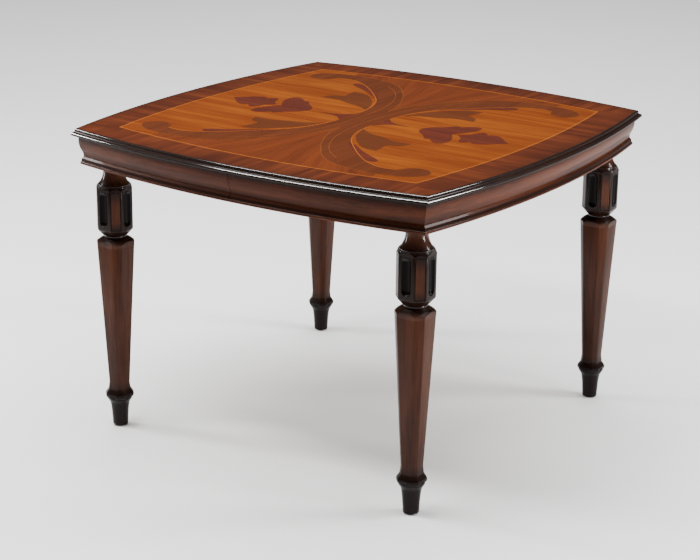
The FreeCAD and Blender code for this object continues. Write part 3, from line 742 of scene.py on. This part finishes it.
def drawn(outlines, sign):
    """A flat sheet inside smooth outlines. Points are (x, y) in millimetres, or (x, y, 1) for a sharp one."""
    curve = bpy.data.curves.new("outline", "CURVE")
    curve.dimensions = "2D"
    curve.fill_mode = "BOTH"
    curve.resolution_u = OUTLINE_STEPS
    for outline in outlines:
        spline = curve.splines.new("BEZIER")
        spline.bezier_points.add(len(outline) - 1)
        spline.use_cyclic_u = True
        for point, spot in zip(spline.bezier_points, outline):
            point.co = (spot[0] * sign / 1000, spot[1] / 1000, 0)
            kind = "VECTOR" if len(spot) > 2 else "AUTO"
            point.handle_left_type = kind
            point.handle_right_type = kind
    thing = bpy.data.objects.new("outline", curve)
    bpy.context.scene.collection.objects.link(thing)
    bpy.context.view_layer.update()
    mesh = bpy.data.meshes.new_from_object(thing)
    shape = bmesh.new()
    shape.from_mesh(mesh)
    bpy.data.objects.remove(thing)
    bpy.data.curves.remove(curve)
    bpy.data.meshes.remove(mesh)
    bmesh.ops.remove_doubles(shape, verts=shape.verts[:], dist=TOUCH)
    return shape


def cut_veneer(outlines, low, high, sign):
    """A thin sheet of wood between two levels, cut to closed outlines."""
    shape = drawn(outlines, sign)
    bmesh.ops.translate(shape, verts=shape.verts[:], vec=(0, 0, low))
    grown = bmesh.ops.extrude_face_region(shape, geom=everything(shape))["geom"]
    bmesh.ops.translate(shape, verts=only(grown, bmesh.types.BMVert), vec=(0, 0, high - low))
    return shape


def ribbon(line, width):
    """A closed outline along an open line, half a width to either side of it, with sharp ends."""
    spots = [Vector(spot) for spot in line]
    before = [spots[0], *spots[:-1]]
    after = [*spots[1:], spots[-1]]
    sides = [(end - start).orthogonal().normalized() * width / 2 for start, end in zip(before, after)]

    def edge(way):
        run = [tuple(spot + side * way) for spot, side in zip(spots, sides)]
        return [(*run[0], 1), *run[1:-1], (*run[-1], 1)]

    return edge(1) + edge(-1)[::-1]


def flipped(outline):
    """The same outline on the other side of the X axis."""
    return [(spot[0], -spot[1], *spot[2:]) for spot in outline]


def both(outline):
    return [outline, flipped(outline)]


# Where the veneers end at the seam
SEAM_EDGE = 0.03
ARM_INNER = [
    (SEAM_EDGE, 104, 1), (10, 160), (36, 224), (84, 302), (138, 364), (200, 394), (265, 405), (330, 401),
    (378, 384), (403, 350), (393, 319), (366, 309), (339, 321), (327, 345, 1),
]
ARM_OUTER = [(290, 354), (242, 338), (193, 301), (136, 243), (88, 184), (60, 122), (48, 60)]
ARM = ARM_INNER + ARM_OUTER
SCROLL = ARM + [(46, 0)] + flipped(ARM)[::-1]
FAN = ARM_INNER[:7] + [(305, 404, 1), (312, 430.5, 1), (160, 445.5), (SEAM_EDGE, 450.5, 1)]
LEAF = [
    (52, 82, 1), (88, 107), (135, 122), (176, 138), (226, 138, 1), (214, 168), (184, 182, 1),
    (194, 238, 1), (160, 234), (120, 203), (80, 152),
]
SLIVER = [(92, 200, 1), (140, 258), (192, 298), (236, 326), (248, 316), (238, 302), (190, 272), (138, 232)]
ARROW = [(47.5, 40, 1), (74, 13), (132, 0, 1), (74, -13), (47.5, -40, 1)]
CUP_SIDE = [
    (176, 28), (200, 49), (219, 75, 1), (232, 72, 1), (246, 86), (262, 96), (279, 92, 1), (282, 64),
    (271, 34),
]
CUP = [(164, 0), *CUP_SIDE, (250, 0, 1), *flipped(CUP_SIDE)[::-1]]
BUD_SIDE = [
    (284, 18), (295, 44), (302, 57, 1), (314, 52), (323, 40, 1), (338, 48), (360, 40), (384, 16),
]
BUD = [(266, 0, 1), *BUD_SIDE, (402, 0, 1), *flipped(BUD_SIDE)[::-1]]
PETAL_LINE = [(254, 6, 1), (270, 28), (284, 58), (290, 62, 1), (288, 34), (274, 18)]
OUTER_STRING = [(50, 62), (61, 122), (89, 184), (137, 243), (194, 301), (243, 338), (291, 354), (325, 349)]
INNER_STRING = [
    (2, 106), (11, 160), (37, 224), (85, 301), (139, 363), (200, 393), (265, 404), (330, 400), (377, 383),
    (402, 350), (392, 320), (366, 310), (340, 322),
]
BACK_STRING = [(20, 0), (23, 70), (34, 150), (64, 232), (112, 304), (160, 346)]

# Each veneer's outlines, finish, material slot and rise above the lowered field
FIELD_LEVEL = TOP - 0.0004
VENEER_BED = 0.0002
MARQUETRY = {
    "fan": (both(FAN), fan_mahogany, "mahogany", 0.00008),
    "scroll": ([SCROLL], walnut, "mahogany", 0.00016),
    "leaves": (both(LEAF), leaf_walnut, "mahogany", 0.0002),
    "slivers": (both(SLIVER), rosewood, "mahogany", 0.00024),
    "tulip": ([CUP, BUD, ARROW], rosewood, "mahogany", 0.00024),
    "petal_lines": (both(PETAL_LINE), satinwood, "satinwood", 0.00028),
    "outer_strings": (both(ribbon(OUTER_STRING, 2.4)), boxwood, "boxwood", 0.00032),
    "inner_strings": (both(ribbon(INNER_STRING, 1.6)), pear, "boxwood", 0.00032),
    "back_strings": (both(ribbon(BACK_STRING, 1.4)), pear, "boxwood", 0.00032),
}

# Corners of the core board within this distance of the middle lie at the seam
AT_SEAM = HALF_GAP + 1e-5


def refitted(node, half, finish, chosen, move):
    """A piece as it is in the solids, with the chosen corners moved."""
    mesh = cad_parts[node].data.copy()
    mesh.attributes.remove(mesh.attributes["custom_normal"])
    shape = bmesh.new()
    shape.from_mesh(mesh)
    bpy.data.meshes.remove(mesh)
    bmesh.ops.remove_doubles(shape, verts=shape.verts[:], dist=TOUCH)
    bmesh.ops.translate(shape, verts=[vert for vert in shape.verts if chosen(vert.co)], vec=move)
    keep(shape, "fitted_" + node, [finish], half + "_half", [node])


def lower_field(half):
    """The field veneer, lowered to let the cut veneers lie in its surface."""
    drop = (0, 0, FIELD_LEVEL - TOP)
    refitted(f"field_veneer_{half}", half, satinwood, lambda spot: spot.z > FIELD_LEVEL, drop)


def close_core(half, sign):
    """The core board, drawn up to the seam so that no light shows through."""
    shift = (sign * (SEAM_EDGE / 1000 - HALF_GAP), 0, 0)
    refitted(f"top_core_{half}", half, core_board, lambda spot: abs(spot.x) < AT_SEAM, shift)


for half, sign in HALVES.items():
    lower_field(half)
    close_core(half, sign)
    for name, (outlines, finish, slot, rise) in MARQUETRY.items():
        shape = cut_veneer(outlines, FIELD_LEVEL - VENEER_BED, FIELD_LEVEL + rise, sign)
        keep(shape, f"{name}_{half}", [finish], half + "_half")


# Screws under the top

# Each kind as (level, radius, height)
RAIL_SCREW = (0.695, 0.005, 0.003)
RACK_SCREW = (0.687, 0.004, 0.0025)
PLATE_SCREW = (0.733, 0.0025, 0.0015)

# Where they are: away from the slide's middle, and out along the slide from the seam
RAIL_OFFSET = 0.0375
RACK_OFFSET = 0.02625
RAIL_SPOTS = (0.06, 0.2, 0.34)
RACK_SPOTS = (0.00867, -0.09425, -0.19716)

# The middle of a lock plate, and its two screws from there
PLATE_MIDDLE = -0.036
PLATE_SPOTS = ((-0.0164, 0.0184), (0.0164, -0.0184))


def screw_head(shape, x, y, level, radius, height):
    """A rounded head with a drive socket, under a level."""
    rim = radius * 0.45
    bottom = radius * 0.4
    depth = height * 0.4
    head = bmesh.new()
    lathe(head, [
        (0, 0, 0), (radius, 0, 0), (radius, -height, height * 0.6), (rim, -height, 0.0001),
        (bottom, -depth, 0), (0, -depth, 0),
    ])
    bmesh.ops.translate(head, verts=head.verts[:], vec=(x, y, level))
    absorb(shape, head)


def screws(name, spots, kind, half, finish):
    shape = bmesh.new()
    for x, y in spots:
        screw_head(shape, x, y, *kind)
    keep(shape, name, [finish], half + "_half")


for half, sign in HALVES.items():
    rail = SLIDE_PLACE - RAIL_OFFSET * sign
    rack = SLIDE_PLACE - RACK_OFFSET * sign
    rail_spots = [(along * sign, rail * way) for along in RAIL_SPOTS for way in ENDS.values()]
    rack_spots = [(along * sign, rack * way) for along in RACK_SPOTS for way in ENDS.values()]
    screws(f"rail_screws_{half}", rail_spots, RAIL_SCREW, half, steel)
    screws(f"rack_screws_{half}", rack_spots, RACK_SCREW, half, steel)

plate_spots = [
    (PLATE_MIDDLE + shift * way, LOCK_PLACE * way + reach * way)
    for way in ENDS.values() for shift, reach in PLATE_SPOTS
]
screws("lock_plate_screws", plate_spots, PLATE_SCREW, "left", brass)


# Stage, light and camera

FLOOR_REACH = 14
PALE = (0.9, 0.9, 0.9, 1)
PALER = (0.92, 0.92, 0.92, 1)
COOL_WHITE = (0.95, 0.96, 1.0, 1)
FAINT = 0.08

# The photograph's viewpoint: place in metres, turns in radians, focal length and frame in its pixels
VIEWPOINT = (2.424917, -3.594656, 1.793093)
YAW = 0.6007
PITCH = 0.2999
ROLL = 0.0114
FOCAL = 1830.6
FRAME_WIDTH = 700
FRAME_DROP = 40
SENSOR = 36.0


def floor():
    shape = bmesh.new()
    bmesh.ops.create_grid(shape, x_segments=1, y_segments=1, size=FLOOR_REACH)
    mesh = bpy.data.meshes.new("floor")
    shape.to_mesh(mesh)
    shape.free()
    finish = Finish("pale_floor")
    cloud = finish.noise(finish.place, (3, 3, 3), detail=2)
    finish.feed(Base_Color=finish.blend(cloud, PALE, PALER))
    finish.feed(Roughness=0.7 + cloud * 0.1)
    mesh.materials.append(finish.material)
    thing = bpy.data.objects.new("floor", mesh)
    bpy.context.scene.collection.objects.link(thing)


def softbox(name, spot, target, width, height, power):
    """A square-cornered light that looks from a spot at a target, in metres and watts."""
    light = bpy.data.lights.new(name, "AREA")
    light.shape = "RECTANGLE"
    light.size = width
    light.size_y = height
    light.energy = power
    thing = bpy.data.objects.new(name, light)
    thing.location = spot
    thing.rotation_euler = (Vector(target) - Vector(spot)).to_track_quat("-Z", "Y").to_euler()
    bpy.context.scene.collection.objects.link(thing)


def surround():
    """A faint cool light from all sides."""
    world = bpy.data.worlds.new("studio")
    world.use_nodes = True
    background = world.node_tree.nodes["Background"]
    background.inputs["Color"].default_value = COOL_WHITE
    background.inputs["Strength"].default_value = FAINT
    bpy.context.scene.world = world


def camera():
    """The photograph's viewpoint, with the roll and the small shift of its framing."""
    ahead = Vector((-math.sin(YAW) * math.cos(PITCH), math.cos(YAW) * math.cos(PITCH), -math.sin(PITCH)))
    side = ahead.cross(Vector((0, 0, 1))).normalized()
    up = side.cross(ahead)
    right = side * math.cos(ROLL) + up * math.sin(ROLL)
    above = up * math.cos(ROLL) - side * math.sin(ROLL)
    lens = bpy.data.cameras.new("view")
    lens.sensor_width = SENSOR
    lens.lens = FOCAL * SENSOR / FRAME_WIDTH
    lens.shift_y = -FRAME_DROP / FRAME_WIDTH
    thing = bpy.data.objects.new("view", lens)
    turn = Matrix((right, above, -ahead)).transposed().to_4x4()
    thing.matrix_world = Matrix.Translation(VIEWPOINT) @ turn
    bpy.context.scene.collection.objects.link(thing)
    bpy.context.scene.camera = thing


floor()
softbox("front", (-0.9, -1.4, 2.9), (-0.9, -0.5, 0.7), 1.9, 0.4, 90)
softbox("left", (-3.3, -1.3, 2.2), (0, 0, 0.6), 0.7, 0.7, 90)
softbox("right", (2.7, 1.5, 2.4), (0, 0, 0.6), 1.0, 1.0, 110)
softbox("left_strip", (-2.9, -1.1, 0.6), (0.3, -0.4, 0.6), 0.14, 0.9, 22)
softbox("right_strip", (2.8, 0.25, 0.6), (0.3, -0.4, 0.6), 0.11, 0.9, 16)
softbox("right_low", (3.2, 0.1, 0.5), (0.4, -0.1, 0.6), 0.8, 0.6, 38)
softbox("overhead", (-1.2, 1.8, 7), (-1.2, 1.8, 0), 8.0, 8.0, 1000)
camera()
surround()
